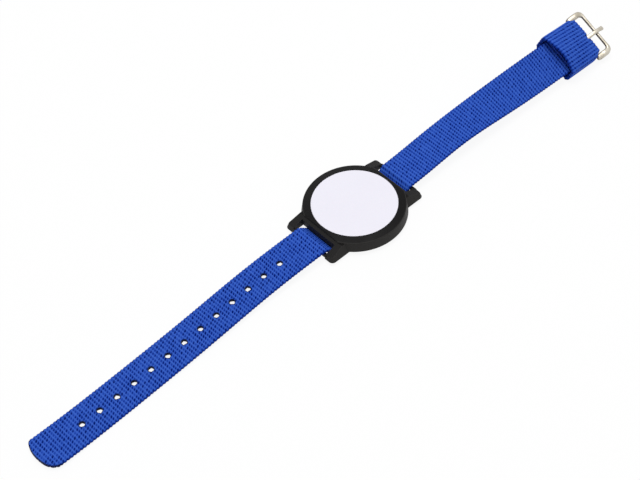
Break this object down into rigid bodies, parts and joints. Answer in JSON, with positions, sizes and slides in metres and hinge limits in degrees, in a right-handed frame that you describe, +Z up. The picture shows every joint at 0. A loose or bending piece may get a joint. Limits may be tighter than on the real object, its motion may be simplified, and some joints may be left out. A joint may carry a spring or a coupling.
{
  "type": "transponder wristband",
  "caption": "Watch-style wristband with a round moulded transponder case, blank face, punched woven strap, webbing keeper and tang buckle.",
  "frame": {"origin": "under the centre of the case, on the surface the strap lies on", "axes": "+Z up out of the case's face; +X along the strap towards the buckle; the punched tail runs towards -X"},
  "size_m": [0.2625, 0.0368, 0.0131],
  "materials": {
    "case_plastic": "satin moulded",
    "face_plastic": "smooth, slightly glossy",
    "adhesive": "matt film",
    "carrier_film": "matt film",
    "copper_wire": "enamelled copper",
    "module_metal": "plated",
    "chip_resin": "cured resin",
    "foam": "open foam",
    "webbing": "ribbed nylon weave",
    "thread": "twisted nylon",
    "nickel_plate": "bright nickel plating",
    "bar_steel": "drawn"
  },
  "bodies": {
    "case": {"case_body": "case_plastic", "back_cover": "case_plastic", "face_disc": "face_plastic", "face_adhesive": "adhesive", "transponder_carrier": "carrier_film", "antenna_coil": "copper_wire", "chip_module": "module_metal", "chip_cap": "chip_resin", "coil_leads": "copper_wire", "foam_pad": "foam", "strap_centre": "webbing"},
    "tail": {"strap_tail": "webbing"},
    "buckle_side": {"strap_buckle_end": "webbing", "keeper": "webbing", "fold_stitching": "thread", "keeper_stitching": "thread"},
    "buckle": {"buckle_frame": "nickel_plate", "buckle_bar": "bar_steel"},
    "tang": {"buckle_tang": "nickel_plate"}
  },
  "joints": [
    {"name": "tail_bend", "type": "hinge", "parent": "case", "child": "tail", "pos_m": [-0.0208, 0, 0.0021], "axis": [0, -1, 0], "range_deg": [-15, 85]},
    {"name": "buckle_side_bend", "type": "hinge", "parent": "case", "child": "buckle_side", "pos_m": [0.0208, 0, 0.0021], "axis": [0, 1, 0], "range_deg": [-15, 85]},
    {"name": "buckle_pivot", "type": "hinge", "parent": "buckle_side", "child": "buckle", "pos_m": [0.1154, -0.0022, 0.00656], "axis": [-0.0213, -0.9061, -0.4225], "range_deg": [-60, 10]},
    {"name": "tang_swing", "type": "hinge", "parent": "buckle", "child": "tang", "pos_m": [0.1154, -0.0022, 0.00656], "axis": [-0.0213, -0.9061, -0.4225], "range_deg": [0, 45]}
  ]
}
